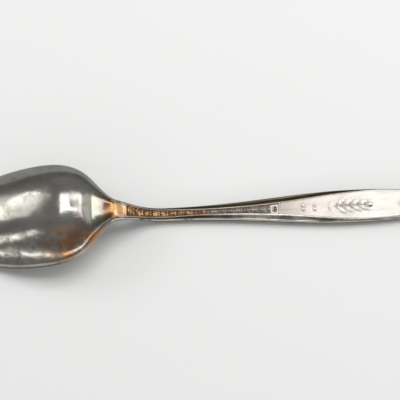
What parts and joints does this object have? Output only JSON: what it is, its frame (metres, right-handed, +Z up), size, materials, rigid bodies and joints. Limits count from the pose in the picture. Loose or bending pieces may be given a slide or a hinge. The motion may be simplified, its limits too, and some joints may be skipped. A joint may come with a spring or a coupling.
{
  "type": "souvenir spoon",
  "caption": "Silver-plated teaspoon, worn and tarnished, lying face down, with an ornament band and small raised motifs on the back of its handle.",
  "frame": {"origin": "on the surface that the spoon lies on, under the middle of its box", "axes": "+X from the tip of the bowl to the end of the handle, +Y across the spoon, +Z up through the rounded back of the bowl"},
  "size_m": [0.151, 0.0312, 0.016],
  "materials": {
    "silver_plate": "polished silver plate, grey with tarnish and fine wear marks",
    "worn_plate": "worn plating with the copper-gold base metal showing",
    "stem_plate": "brown-toned tarnished silver plate",
    "band_plate": "raised ornament in tarnished copper-brown plate, dark in the recesses",
    "bright_plate": "bright silver plate with faint pink and yellow tarnish",
    "relief_plate": "raised silver relief, darker in the recesses"
  },
  "bodies": {
    "root": {"bowl": "silver_plate", "neck": "worn_plate", "stem": "stem_plate", "blade": "bright_plate", "border_wire_left": "bright_plate", "border_wire_right": "bright_plate", "ornament_band": "band_plate", "scroll": "relief_plate", "leaf_near_stem": "relief_plate", "leaf_next": "relief_plate", "crescent": "relief_plate", "spray": "relief_plate", "end_leaf": "relief_plate"}
  },
  "joints": []
}
